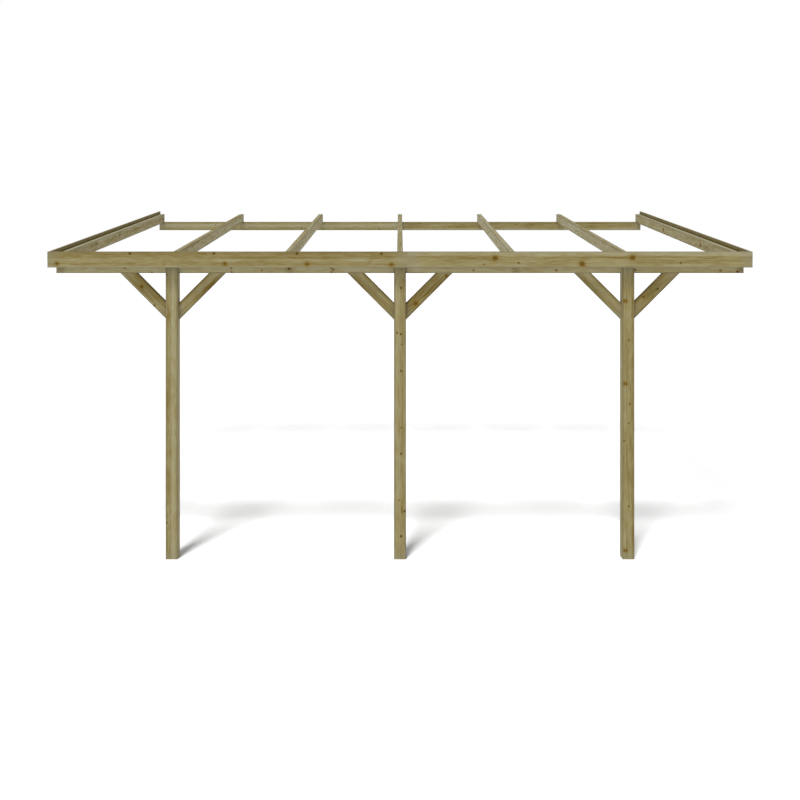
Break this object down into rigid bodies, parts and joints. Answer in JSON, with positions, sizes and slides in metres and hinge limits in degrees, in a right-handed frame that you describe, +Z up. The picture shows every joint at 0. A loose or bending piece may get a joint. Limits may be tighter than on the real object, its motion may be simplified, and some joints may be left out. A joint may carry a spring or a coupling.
{
  "type": "lean-to carport frame",
  "caption": "Open lean-to carport frame of green treated timber: square braced posts and a purlin carry sloping rafters from a wall plate, edged by a fascia and verge boards.",
  "frame": {"origin": "on the wall, at the middle of the wall plate's back face", "axes": "+X along the wall to the right as seen from outside, +Y into the wall, +Z up"},
  "size_m": [5.275, 3.52, 2.6412],
  "materials": {
    "treated_spruce": "planed, pressure-treated green"
  },
  "bodies": {
    "root": {"left_post": "treated_spruce", "left_post_left_brace": "treated_spruce", "left_post_right_brace": "treated_spruce", "centre_post": "treated_spruce", "centre_post_left_brace": "treated_spruce", "centre_post_right_brace": "treated_spruce", "right_post": "treated_spruce", "right_post_left_brace": "treated_spruce", "right_post_right_brace": "treated_spruce", "purlin_left": "treated_spruce", "purlin_right": "treated_spruce", "wall_plate_left": "treated_spruce", "wall_plate_right": "treated_spruce", "rafter_1": "treated_spruce", "rafter_2": "treated_spruce", "rafter_3": "treated_spruce", "rafter_4": "treated_spruce", "rafter_5": "treated_spruce", "rafter_6": "treated_spruce", "rafter_7": "treated_spruce", "fascia_left": "treated_spruce", "fascia_right": "treated_spruce", "left_verge_board": "treated_spruce", "right_verge_board": "treated_spruce"}
  },
  "joints": []
}
